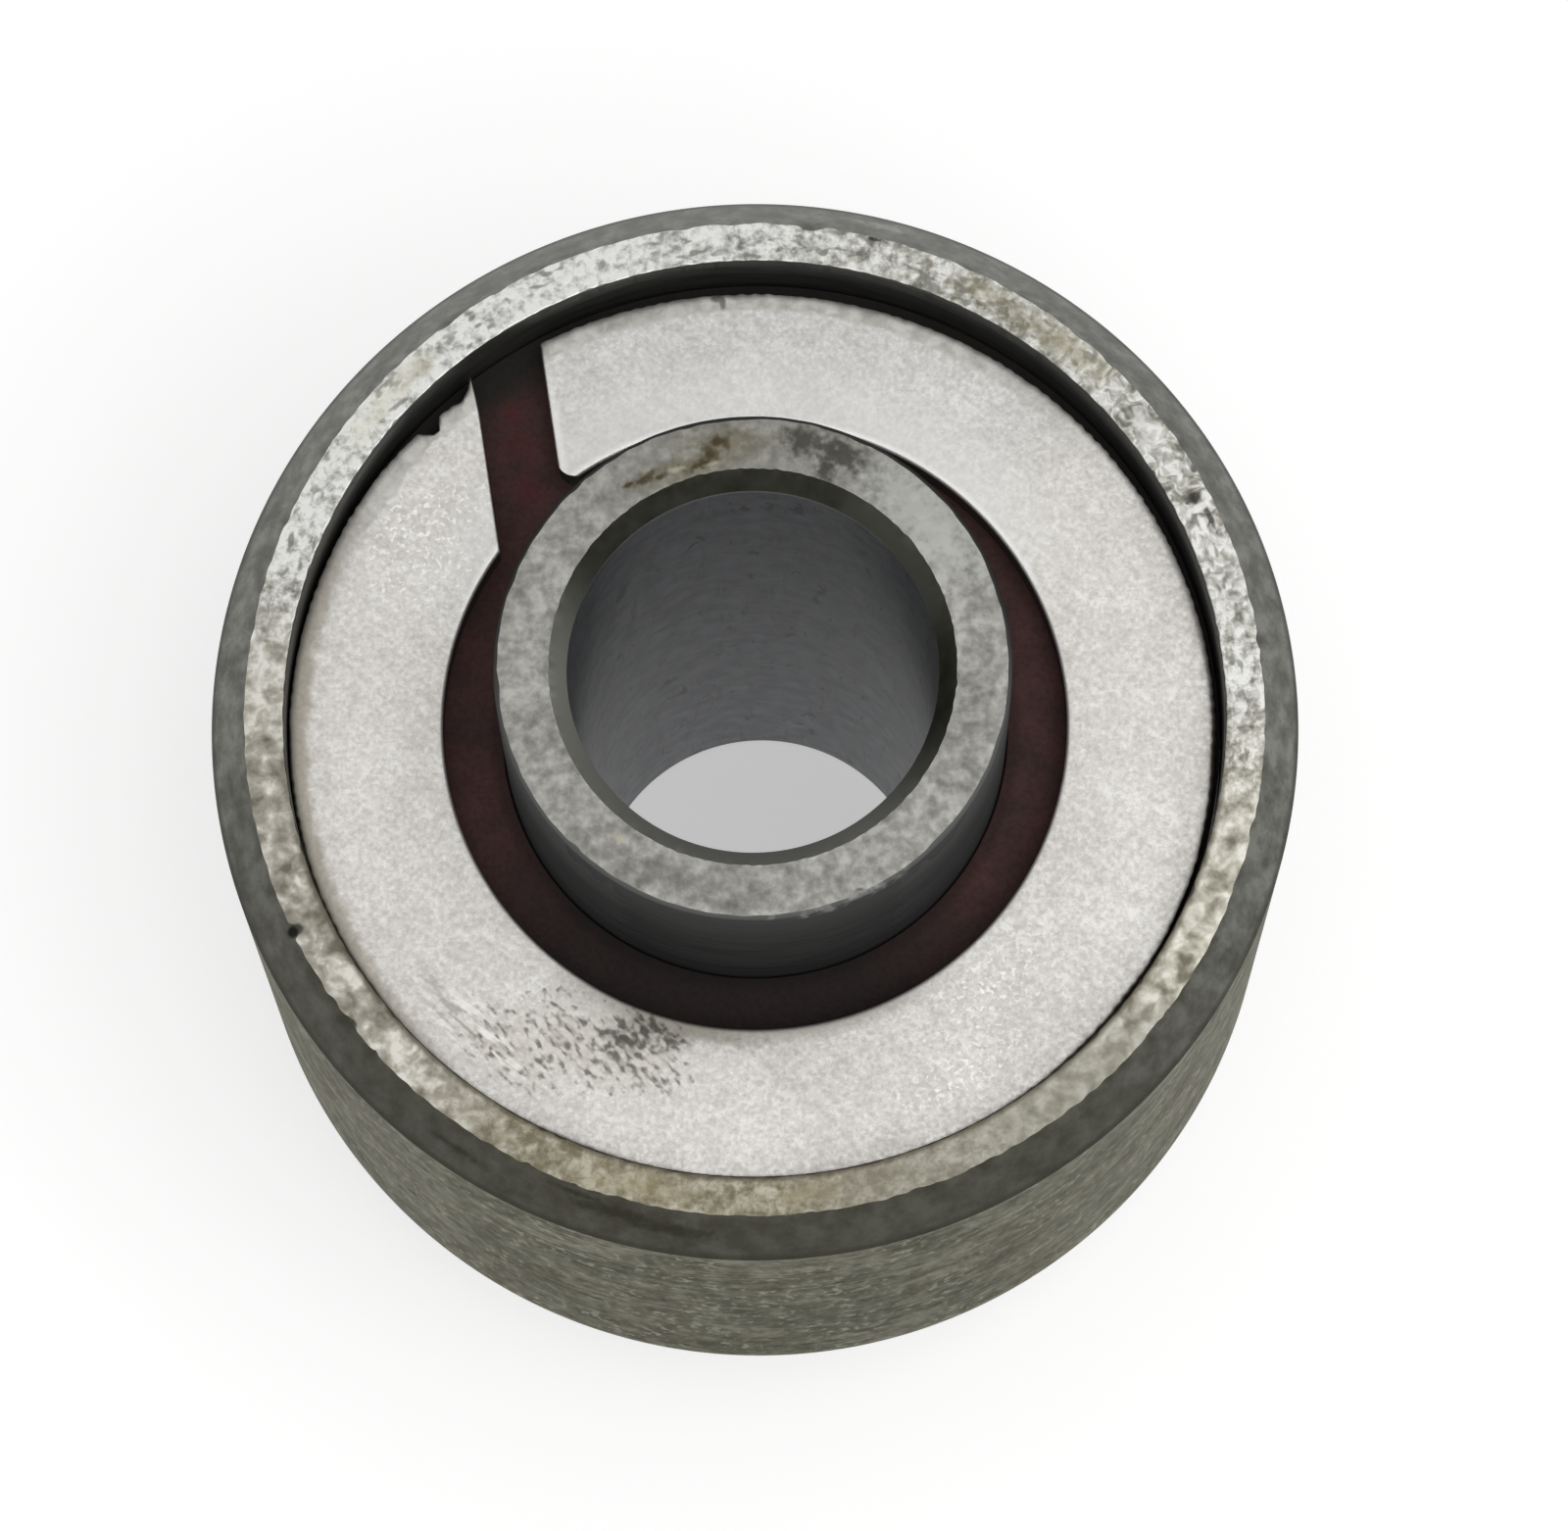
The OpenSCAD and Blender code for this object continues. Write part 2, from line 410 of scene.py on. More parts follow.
    def blot(self, mask, strength, *stain):
        """Lays a stain of some red, green and blue over the paint's colour, at some strength."""
        self.cover(self.times(mask, strength), tone(*stain))

    def most(self, *masks):
        """The largest of some masks."""
        total = masks[0]
        for mask in masks[1:]:
            total = self.number("MAXIMUM", total, mask)
        return total

    def bump(self, height, micrometres):
        """Surface relief. Its full height is given in micrometres."""
        node = self.add("ShaderNodeBump", Strength=1.0, Distance=micrometres * 1e-6, Height=height)
        self.feed(self.shader.inputs["Normal"], node.outputs[0])

    def finish(self, roughness=None):
        """The material, with the colour that was laid on and a roughness that may vary."""
        self.feed(self.shader.inputs["Base Color"], self.colour)
        if roughness is not None:
            self.feed(self.shader.inputs["Roughness"], roughness)
        return self.material


def face_steel():
    """The flat face of the outer ring: bright and mottled with dark specks, dirtier at the near side."""
    paint = Paint("face_steel")
    lumps = paint.noise(5.4, detail=3, roughness=0.6, distortion=0.2)
    curls = paint.noise(3.8, distortion=1.3, shift=15)
    blobs = paint.noise(3.2, detail=3, distortion=0.3, shift=19)
    cloud = paint.noise(0.9, detail=1, shift=7)
    # Sides of the ring that look different
    curled = paint.towards(30, 0.93, 0.985)
    blobby = paint.towards(-158, 0.75, 0.93)
    coarse = paint.most(blobby, paint.towards(-38, 0.85, 0.96))
    near_side = paint.towards(-98, 0.78, 0.95)
    clean = paint.towards(118, 0.6, 0.97)
    cleanest = paint.towards(140, 0.6, 0.95)
    left = paint.towards(-172, 0.7, 0.97)
    right = paint.towards(10, 0.9, 0.985)
    near_right = paint.towards(-38, 0.95, 0.995)
    greyer = paint.towards(-62, 0.88, 0.98)
    level = paint.between(curled, lumps, curls)
    blobs = paint.number("ADD", paint.times(blobs, 0.8), paint.times(lumps, 0.2))
    level = paint.between(coarse, level, blobs)
    level = paint.stir(level, cloud, 0.22)
    changes = ((clean, 0.07), (cleanest, 0.07), (left, -0.025), (right, 0.05), (near_right, 0.01))
    for mask, change in changes:
        level = paint.lift(level, mask, change)
    bright = paint.ramp(level, (0.33, 120, 118, 108), (0.44, 158, 156, 147),
                        (0.53, 187, 186, 179), (0.66, 224, 224, 220))
    darker = paint.ramp(level, (0.34, 122, 114, 94), (0.5, 147, 141, 124), (0.66, 176, 171, 156))
    cool = paint.ramp(level, (0.33, 122, 123, 119), (0.44, 161, 162, 158),
                      (0.53, 193, 194, 190), (0.66, 225, 226, 222))
    pale = paint.ramp(level, (0.3, 114, 109, 96), (0.5, 166, 162, 151), (0.62, 214, 211, 202))
    paint.colour = paint.mix(clean, bright, cool)
    paint.cover(blobby, pale)
    yellowed = paint.towards(-42, 0.7, 0.95)
    paint.cover(yellowed, tone(255, 252, 244), "MULTIPLY")
    paint.cover(near_side, darker)
    paint.blot(greyer, 0.6, 140, 138, 127)
    # Short dark dashes that lie in groups
    groups = paint.fade(paint.noise(1.3, detail=1, shift=16), 0.38, 0.6)
    specks = paint.fade(paint.around(6.5, 0.55, detail=1, shift=17), 0.54, 0.68)
    specks = paint.times(specks, groups)
    specks = paint.times(specks, paint.fade(near_side, 0, 1, 0.8, 0.25))
    specks = paint.times(specks, paint.fade(coarse, 0, 1, 1.0, 0.2))
    paint.cover(specks, tone(122, 122, 115))
    stains = paint.spots(outer_half, (
        (47, 8.62, 1.2, 0.34), (60, 8.65, 0.8, 0.26), (-105, 8.6, 1.5, 0.35),
        (-86, 8.55, 0.9, 0.3), (131, 8.6, 0.7, 0.26),
    ), core=0.1)
    paint.blot(stains, 0.5, 150, 141, 112)
    tinted_r = 8.6
    tints = (
        (53, 1.2, 0.4, 0.55, 146, 141, 120),
        (33, 0.9, 0.3, 0.5, 222, 222, 216),
        (138, 1.7, 0.4, 0.4, 206, 201, 180),
    )
    for angle, along, across, strength, *tint in tints:
        place = paint.spot(angle, tinted_r, outer_half, along, across, core=0)
        paint.blot(place, strength, *tint)
    pits = paint.spots(outer_half, (
        (deep_pit_angle, 8.83, 0.14, 0.18, 0.1), (left_pit_angle, 8.88, 0.16, 0.1, 0.2),
        (far_pit_angle, 8.86, 0.22, 0.07, 0.2), (74, 8.86, 0.15, 0.05, 0.2),
        (24.5, 8.6, 0.12, 0.2, 0.3), (21.8, 8.72, 0.3, 0.07, 0.3),
        (27.5, 8.86, 0.12, 0.08, 0.2),
    ))
    paint.blot(pits, 0.8, 40, 39, 33)
    glints = paint.spots(outer_half, ((23.2, 8.62, 0.1, 0.24), (21, 8.55, 0.25, 0.07)), ragged=0.2)
    paint.blot(glints, 0.8, 236, 236, 232)
    # Painted shade darkens the rounded edge at the recess
    mouth = paint.fade(paint.height, outer_half - 0.001, outer_half - 0.006)
    paint.blot(mouth, 0.85, 84, 84, 79)
    # Painted shade: at the near side a dark line runs along it
    lip = paint.fade(paint.radius, recess_r + 0.14, recess_r + 0.03)
    lip = paint.times(lip, paint.towards(-90, -0.1, 0.3))
    paint.blot(lip, 0.8, 88, 82, 69)
    paint.bump(level, 8)
    return paint.finish(paint.fade(level, 0.3, 0.7, 0.58, 0.4))


def edge_steel():
    """The wide chamfer: smooth, dark and oily."""
    paint = Paint("edge_steel", roughness=0.42)
    cloud = paint.noise(2.2, detail=4, roughness=0.6, shift=3)
    fine = paint.noise(9, shift=5)
    near_side = paint.towards(-100, -0.1, 0.85)
    clean = paint.ramp(cloud, (0.36, 82, 83, 77), (0.5, 105, 106, 99), (0.64, 128, 129, 123))
    darker = paint.ramp(cloud, (0.34, 64, 62, 53), (0.5, 73, 72, 64), (0.66, 83, 82, 74))
    # Painted shade: the near side of the chamfer is laid in the darker ramp, for the darker surround it
    # reflects
    paint.colour = paint.mix(paint.times(near_side, 0.95), clean, darker)
    # Greasy smears at the near side and pale ones at the far side
    lines = paint.around(7, 0.16, shift=6)
    smear = paint.most(
        paint.spot(-101, 9.17, 5.86, 1.2, 0.13, ragged=0.3, core=0.1),
        paint.spot(-107, 9.1, 5.94, 1.2, 0.12, ragged=0.3, core=0.25),
        paint.spot(-112, 9.0, 6.08, 0.8, 0.06, ragged=0.3, core=0.1),
        paint.spot(-126, 9.2, 5.82, 1.1, 0.08, ragged=0.3, core=0),
    )
    paint.blot(paint.spot(-106, 9.12, 5.9, 2.4, 0.35, core=0), 0.5, 62, 58, 44)
    paint.blot(smear, 0.8, 48, 47, 39)
    streak = paint.spot(70, 9.25, 5.7, 1.9, 0.2, core=0)
    streak = paint.times(streak, paint.fade(lines, 0.46, 0.62))
    paint.blot(streak, 0.55, 160, 161, 155)
    paint.cover(paint.fade(fine, 0.58, 0.74, 0, 0.3), tone(66, 64, 55))
    paint.cover(paint.fade(paint.radius, 9.42, 9.5, 0, 0.6), tone(52, 51, 44))
    pit = paint.spot(deep_pit_angle, 8.89, 6.16, 0.14, 0.13, ragged=0.1)
    paint.blot(pit, 0.9, 24, 23, 19)
    paint.bump(fine, 3)
    return paint.finish(paint.fade(cloud, 0.3, 0.7, 0.38, 0.5))


def wall_steel():
    """The outside of the outer ring: olive grey, mottled, with light flecks and dark ragged marks."""
    paint = Paint("wall_steel", metallic=0.6, specular=0.2, edge_tint=tone(140, 136, 118))
    lumps = paint.noise(3.2, detail=3, roughness=0.55, stretch=(1, 1, 0.65), distortion=0.2)
    cloud = paint.noise(0.6, shift=2)
    ground = paint.around(13, 0.03, detail=1, shift=28)
    brownish = paint.fade(paint.noise(0.45, detail=1, shift=33), 0.4, 0.6)
    level = 0.5
    for part, share in ((lumps, 0.65), (cloud, 0.4), (ground, 0.45)):
        level = paint.stir(level, part, share)
    grey = paint.ramp(level, (0.3, 76, 76, 64), (0.5, 103, 103, 91), (0.7, 138, 138, 126))
    brown = paint.ramp(level, (0.3, 77, 75, 62), (0.5, 104, 102, 89), (0.7, 138, 136, 124))
    paint.colour = paint.mix(brownish, grey, brown)
    # Painted light: the wall is lighter all round except at the near side
    lighter = paint.number("SUBTRACT", 1.0, paint.towards(-93, 0.72, 0.95))
    paint.blot(lighter, 0.15, 160, 160, 152)
    flecks = paint.fade(paint.noise(6, stretch=(1, 1, 0.65), shift=9), 0.53, 0.67)
    flecks = paint.times(flecks, paint.fade(paint.noise(0.9, detail=1, shift=27), 0.38, 0.58, 0.25))
    paint.blot(flecks, 0.85, 158, 158, 146)
    groups = paint.fade(paint.noise(0.7, detail=1, shift=8), 0.48, 0.62)
    marks = paint.noise(3.2, stretch=(0.7, 0.7, 0.6), distortion=0.4, shift=18)
    marks = paint.times(paint.fade(marks, 0.55, 0.65), groups)
    paint.blot(marks, 0.4, 70, 68, 56)
    # Painted light: a lighter band under the chamfer
    wall_half = outer_half - edge_chamfer_z
    band_w = 0.45
    band = paint.fade(paint.height, wall_half - band_w, wall_half)
    paint.blot(band, 0.35, 136, 137, 126)
    paint.bump(level, 8)
    return paint.finish(paint.fade(level, 0.35, 0.65, 0.6, 0.48))


def recess_steel():
    """The wall of the end recess: dark, fine turned."""
    paint = Paint("recess_steel", metallic=0.7, roughness=0.5)
    rings = paint.around(9, 0.08)
    paint.colour = paint.ramp(rings, (0.35, 74, 74, 72), (0.65, 98, 98, 95))
    paint.bump(rings, 3)
    return paint.finish()


def race_steel():
    """Inside of both rings: ground races, not seen from outside."""
    paint = Paint("race_steel", roughness=0.25)
    rings = paint.around(12, 0.05)
    paint.colour = paint.ramp(rings, (0.35, 150, 150, 148), (0.65, 185, 185, 183))
    paint.bump(rings, 1)
    return paint.finish()


def inner_face_steel():
    """End face of the inner ring: matt grey with brown and dark stains."""
    paint = Paint("inner_face_steel")
    grain = paint.noise(4.6, detail=4, roughness=0.55, shift=11)
    cloud = paint.noise(1.0, detail=1, shift=12)
    darker = paint.towards(85, 0.6, 0.93)
    level = paint.stir(grain, cloud, 0.3)
    paint.colour = paint.ramp(level, (0.3, 122, 122, 116), (0.5, 148, 147, 142), (0.7, 176, 175, 170))
    paint.blot(darker, 0.4, 116, 115, 106)
    top = inner_half
    paint.blot(paint.spot(40, 3.9, top, 1.7, 0.9, core=0.2), 0.75, 176, 177, 172)
    tint = paint.spots(top, ((104, 3.68, 1.7, 0.36), (94, 3.95, 1.1, 0.45)), core=0.1)
    paint.blot(tint, 0.65, 104, 97, 76)
    smudge = paint.most(
        paint.spot(66.5, 4.0, top, 0.75, 0.36, core=0.2),
        paint.spot(75.5, 4.05, top, 0.6, 0.36, core=0.15),
        paint.spot(68, 3.68, top, 0.26, 0.34, core=0.2),
        paint.spot(-67, 4.3, top, 0.12, 0.06, core=0),
    )
    paint.blot(smudge, 0.88, 68, 67, 60)
    soft = paint.spots(top, ((-112, 3.95, 1.1, 0.4), (-99, 4.15, 0.6, 0.18)), ragged=0.3, core=0)
    paint.blot(soft, 0.5, 94, 91, 82)
    brown = paint.spots(top, (
        (96.5, 3.98, 0.28, 0.2, 0.5), (99, 3.8, 0.2, 0.25, 0.4),
        (102.5, 3.66, 0.42, 0.12, 0.5), (113.5, 3.68, 0.2, 0.08, 0.4),
        (117, 3.78, 0.36, 0.13, 0.5), (121.5, 3.83, 0.2, 0.06, 0.4),
    ), core=0.1)
    paint.blot(brown, 0.85, 66, 56, 34)
    cream = paint.spots(top, (
        (98.5, 3.62, 0.2, 0.07), (108.5, 3.7, 0.25, 0.09), (-129, 3.75, 0.18, 0.1),
    ), core=0.1)
    paint.blot(cream, 0.6, 180, 176, 156)
    paint.bump(grain, 3)
    return paint.finish(paint.fade(grain, 0.3, 0.7, 0.56, 0.44))


def neck_steel():
    """Outside of the inner ring's neck: smooth and dark, with pale scuffs at its rounded top edge."""
    paint = Paint("neck_steel", metallic=0.5, roughness=0.6, specular=0.0, edge_tint=tone(90, 90, 90))
    rings = paint.around(5, 0.1, detail=3)
    paint.colour = paint.ramp(rings, (0.35, 70, 70, 70), (0.65, 80, 80, 80))
    # Painted light: the neck is lighter towards its top
    higher = paint.fade(paint.height, inner_half - 2.6, inner_half)
    paint.blot(higher, 0.6, 104, 104, 103)
    scuffs = paint.fade(paint.noise(2.6, shift=24), 0.42, 0.62)
    scuffed = paint.spot(-72, neck_r, inner_half - 0.1, 1.6, 0.5, deep=0.25, core=0.2)
    paint.blot(paint.times(scuffs, scuffed), 0.7, 160, 160, 156)
    # Painted shade darkens the rounded edge at the far side
    worn = paint.fade(paint.height, inner_half - 0.12, inner_half - 0.05)
    worn = paint.times(worn, paint.towards(90, -0.5, 0.3))
    paint.blot(worn, 0.8, 40, 40, 38)
    # Painted shade in the gap beside the seal
    foot = paint.fade(paint.height, seal_top_z + 0.35, seal_top_z - 0.2)
    paint.blot(foot, 0.5, 26, 26, 26)
    paint.bump(rings, 2)
    return paint.finish()


def bore_steel():
    """The bore: dark bluish grey with black specks and fine lines along the axis."""
    paint = Paint("bore_steel", metallic=0.8, roughness=0.42)
    cloud = paint.noise(2.2, detail=4, roughness=0.6, shift=21)
    lines = paint.noise(6, stretch=(1, 1, 0.12), shift=22)
    paint.colour = paint.ramp(cloud, (0.3, 66, 68, 72), (0.7, 106, 108, 111))
    paint.cover(paint.fade(lines, 0.58, 0.72, 0, 0.5), tone(50, 51, 53))
    specks = paint.noise(3.4, detail=3, roughness=0.65, stretch=(1, 1, 0.45), distortion=0.5, shift=23)
    crowded = paint.spot(82, bore_r, 8.5, 1.2, 1.0, deep=1.4, core=0)
    specks = paint.lift(specks, crowded, 0.08)
    paint.cover(paint.fade(specks, 0.62, 0.68, 0, 0.85), tone(22, 22, 23))
    # A pale line under the upper chamfer
    under_chamfer = paint.fade(paint.z, inner_half - 0.5, inner_half - 0.42, 0, 0.6)
    paint.cover(under_chamfer, tone(150, 152, 156))
    paint.bump(cloud, 3)
    return paint.finish()


def bore_chamfer_steel():
    """The chamfer at each end of the bore: dark olive, cleaner at the near side."""
    paint = Paint("bore_chamfer_steel")
    cloud = paint.noise(2.5, detail=3, shift=31)
    paint.colour = paint.ramp(cloud, (0.3, 54, 54, 46), (0.7, 72, 72, 64))
    cleaner = paint.towards(-118, -0.2, 0.6)
    paint.blot(cleaner, 1.0, 176, 176, 168)
    paint.blot(paint.towards(35, 0.85, 0.98), 0.7, 98, 98, 90)
    return paint.finish()


def plate_steel():
    """The split plates: bright satin with fine sparkle, black specks and faint scratches."""
    paint = Paint("plate_steel", metallic=0.75)
    top = plate_top_z
    grain = paint.noise(12.5, roughness=0.6)
    swirl = paint.noise(3.5, detail=3, roughness=0.6, distortion=0.5, shift=46)
    cloud = paint.noise(0.7, detail=1, shift=41)
    brushed = paint.noise(7, detail=3, roughness=0.6, stretch=(0.09, 1, 1), turn=-38, shift=42)
    level = paint.number("ADD", paint.times(grain, 0.7), paint.times(swirl, 0.3))
    level = paint.stir(level, cloud, 0.25)
    level = paint.stir(level, brushed, 0.25)
    warm = paint.ramp(level, (0.32, 199, 195, 189), (0.5, 216, 213, 208), (0.68, 235, 233, 229))
    cool = paint.ramp(level, (0.32, 189, 188, 185), (0.5, 207, 206, 203), (0.68, 227, 226, 224))
    # Painted shade: the far side is laid in the cooler, darker ramp
    paint.colour = paint.mix(paint.towards(85, 0.6, 0.93), warm, cool)
    # Painted light: lighter towards the hole at the far side, away from the recess wall's shade
    far_hole_light = paint.times(paint.fade(paint.radius, 7.2, 5.6), paint.towards(90, 0.3, 0.7))
    paint.blot(far_hole_light, 0.55, 232, 231, 228)
    # Bright specks, most of all at the near right and left of the slot
    glitter = paint.most(
        paint.spot(-50, 6.2, top, 2.2, 1.2, core=0),
        paint.spot(148, 6.7, top, 1.9, 1.6, core=0.2),
        paint.spot(-62, 7.2, top, 2.2, 0.8, core=0),
    )
    glints = paint.fade(paint.noise(10, detail=1, distortion=0.3, shift=47), 0.54, 0.68)
    paint.blot(paint.times(glints, glitter), 0.9, 250, 249, 247)
    # Dirt near the hole, thinner towards the rim at the near left side
    dense = paint.spots(top, (
        (-111.5, 5.8, 0.8, 0.6), (-106.5, 5.7, 0.7, 0.45), (-114, 6.1, 0.6, 0.4),
    ), ragged=0.3, core=0)
    sparse = paint.spots(top, (
        (-121, 6.5, 1.7, 1.0), (-112, 6.2, 1.4, 1.0), (-128, 7.2, 1.3, 0.8),
    ), ragged=0.3, core=0)
    paint.blot(sparse, 0.5, 204, 199, 187)
    paint.blot(dense, 0.55, 132, 129, 117)
    hole_dirt = paint.spot(-103, 5.58, top, 1.9, 0.3, ragged=0.3, core=0.1)
    paint.blot(hole_dirt, 0.75, 134, 130, 118)
    hole_shade = paint.times(paint.fade(paint.radius, 5.85, 5.5), paint.towards(-94, 0.75, 0.95))
    paint.blot(hole_shade, 0.75, 158, 154, 145)
    # Specks are strokes that lean to the right, dark in the dense patch and grey elsewhere
    specks = paint.noise(8, detail=1, stretch=(0.6, 1, 1), turn=-50, distortion=0.3, shift=43)
    specks = paint.lift(specks, sparse, 0.1)
    specks = paint.lift(specks, dense, 0.15)
    specks = paint.times(paint.fade(specks, 0.52, 0.8), paint.fade(sparse, 0.02, 0.35))
    speck_colour = paint.mix(dense, tone(84, 81, 70), tone(46, 44, 37))
    paint.cover(paint.times(specks, 0.8), speck_colour)
    # Dark and bright strokes at the near left side
    strokes = paint.noise(8.5, stretch=(0.2, 1, 1), turn=-42, distortion=0.2, shift=45)
    scored = paint.spot(-134, 7.3, top, 1.9, 0.6, ragged=0.3, core=0.1)
    shiny = paint.times(scored, paint.fade(strokes, 0.46, 0.38))
    paint.blot(shiny, 0.8, 242, 240, 235)
    dark = paint.times(scored, paint.fade(strokes, 0.53, 0.62))
    paint.blot(dark, 0.45, 112, 108, 96)
    # The rim is stained and painted with the shade of its rolled edge, wide at the far side and narrow and
    # dark at the left
    rim_middle = (rim_shift * math.cos(rim_shift_angle), rim_shift * math.sin(rim_shift_angle), 0)
    rim_distance = paint.vector("LENGTH", paint.vector("SUBTRACT", paint.flat, rim_middle))
    rim_level = paint.noise(3.0, detail=3, distortion=0.4, shift=44)
    uneven = paint.stir(rim_distance, rim_level, 0.35)
    wide = paint.times(paint.fade(uneven, plate_r - 0.4, plate_r - 0.3), paint.towards(100, 0.3, 0.9))
    rim_colour = paint.ramp(rim_level, (0.35, 158, 157, 148), (0.65, 208, 206, 200))
    paint.cover(paint.times(wide, 0.8), rim_colour)
    narrow = paint.fade(uneven, plate_r - 0.32, plate_r - 0.1)
    narrow = paint.times(narrow, paint.towards(-172, 0.7, 0.96))
    paint.blot(narrow, 0.75, 158, 151, 135)
    tick = paint.spots(top, ((92.9, 7.78, 0.15, 0.1), (92.2, 7.7, 0.08, 0.17)), ragged=0.1)
    paint.blot(tick, 0.75, 84, 83, 76)
    # Painted highlight along the edge of the hole at the far side
    hole_edge_highlight = paint.fade(paint.radius, plate_hole_r + 0.16, plate_hole_r + 0.05)
    hole_edge_highlight = paint.times(hole_edge_highlight, paint.towards(90, 0.2, 0.6))
    paint.blot(hole_edge_highlight, 0.85, 248, 247, 244)
    # A painted highlight also runs along the right edge of the upper slot, most of all at its corner
    slot_way = (math.cos(upper_slot_angle), math.sin(upper_slot_angle), 0)
    past_slot = paint.vector("DOT_PRODUCT", paint.place, slot_way)
    past_slot = paint.number("ADD", past_slot, slot_offset - slot_w / 2)
    slot_edge_highlight = paint.times(paint.fade(past_slot, 0.2, 0.03), paint.fade(past_slot, -0.1, -0.05))
    slot_edge_highlight = paint.times(slot_edge_highlight, paint.spot(119, 6.1, top, 1.8, 1.8, ragged=0, deep=1, core=0.2))
    paint.blot(slot_edge_highlight, 0.75, 246, 245, 242)
    # The walls of the hole, the slot and the rim are dark
    side = paint.fade(paint.height, top - 0.045, top - 0.075)
    paint.blot(side, 0.9, 38, 37, 35)
    # Painted shade: the rolled rim is dark brown, as the dark line beside the recess, except at the far
    # side
    rolled_rim_shade = paint.fade(paint.height, top - 0.004, top - 0.018)
    rolled_rim_shade = paint.times(rolled_rim_shade, paint.fade(paint.radius, 7.4, 7.6))
    rolled_rim_shade = paint.times(rolled_rim_shade, paint.towards(-90, -0.3, 0.1))
    paint.cover(rolled_rim_shade, tone(74, 69, 58))
    paint.bump(level, 4)
    return paint.finish(paint.fade(grain, 0.3, 0.7, 0.52, 0.4))


def seal_rubber():
    """The seal discs: matt dark red-brown, darker at the near side, with painted shade towards the
    outside.
    """
    paint = Paint("seal_rubber", metallic=0.0, roughness=0.7, specular=0.15)
    cloud = paint.noise(1.4, detail=3, shift=51)
    fine = paint.noise(12, shift=52)
    paint.colour = paint.ramp(cloud, (0.3, 62, 46, 44), (0.7, 80, 54, 52))
    paint.cover(paint.fade(fine, 0.4, 0.7, 0, 0.25), tone(40, 32, 31))
    near_side = paint.towards(-98, 0.4, 0.95)
    paint.blot(near_side, 0.85, 30, 28, 27)
    # Painted shade towards the outside, under the plate's rim and beside the recess wall
    outside = paint.fade(paint.radius, 7.15, 7.85)
    paint.blot(outside, 0.85, 34, 36, 34)
    inside = paint.fade(paint.radius, 4.75, 4.55)
    paint.blot(inside, 0.3, 24, 23, 23)
    # Redder where the slot of the upper plate keeps it clean
    clean = paint.spots(seal_top_z, (
        (130.5, 5.95, 0.42, 0.5), (126.5, 6.7, 0.42, 0.6), (124.5, 7.2, 0.36, 0.4),
    ), core=0)
    paint.blot(clean, 0.7, 84, 42, 42)
    paint.bump(fine, 4)
    return paint.finish(paint.fade(fine, 0.3, 0.7, 0.62, 0.76))


def ball_steel():
    """Polished balls with a trace of rolling marks."""
    paint = Paint("ball_steel", roughness=0.12)
    marks = paint.noise(5, detail=3, shift=61)
    paint.colour = paint.ramp(marks, (0.35, 196, 198, 201), (0.65, 212, 213, 215))
    return paint.finish(paint.fade(marks, 0.3, 0.7, 0.1, 0.18))


def cage_plastic():
    """Moulded cages in natural plastic."""
    paint = Paint("cage_plastic", metallic=0.0)
    cloud = paint.noise(1.2, shift=71)
    fine = paint.noise(10, shift=72)
    paint.colour = paint.ramp(cloud, (0.3, 214, 203, 168), (0.7, 226, 217, 186))
    paint.bump(fine, 4)
    return paint.finish(paint.fade(fine, 0.3, 0.7, 0.4, 0.52))


def groove_reach(centre_r, shoulder_r):
    """Half of a race groove's angle, in degrees, and half of its width."""
    reach = math.degrees(math.acos(abs(shoulder_r - centre_r) / groove_r))
    return reach, groove_r * math.sin(math.radians(reach))


# Outer ring
def outer_ring_profile():
    face_edge_r = outer_r - edge_chamfer_r
    wall_top_z = outer_half - edge_chamfer_z
    mouth = (recess_r + mouth_round, outer_half - mouth_round)
    groove_centre_r = outer_groove_bottom - groove_r
    reach, groove_half = groove_reach(groove_centre_r, outer_shoulder_r)
    mouth_strip = 0.01
    wall = path((outer_r, -wall_top_z), (outer_r, wall_top_z, 10, "wall"))
    upper = path(
        (outer_r, wall_top_z),
        (face_edge_r, outer_half, 8, "edge"),
        (mouth[0] + mouth_strip, outer_half, 11, "face"),
        (mouth[0], outer_half, 1, "face"),
    )
    upper += arc(mouth, mouth_round, 90, 180, 3, "face")
    upper += path(
        (recess_r, mouth[1]),
        (recess_r, seal_seat_z, 4, "recess"),
        (outer_shoulder_r, seal_seat_z, 1, "race"),
        (outer_shoulder_r, row_z + groove_half, 1, "race"),
    )
    upper += arc((groove_centre_r, row_z), groove_r, reach, -reach, 7, "race")
    return closed_profile(wall, upper, (outer_shoulder_r, row_z - groove_half), "race")


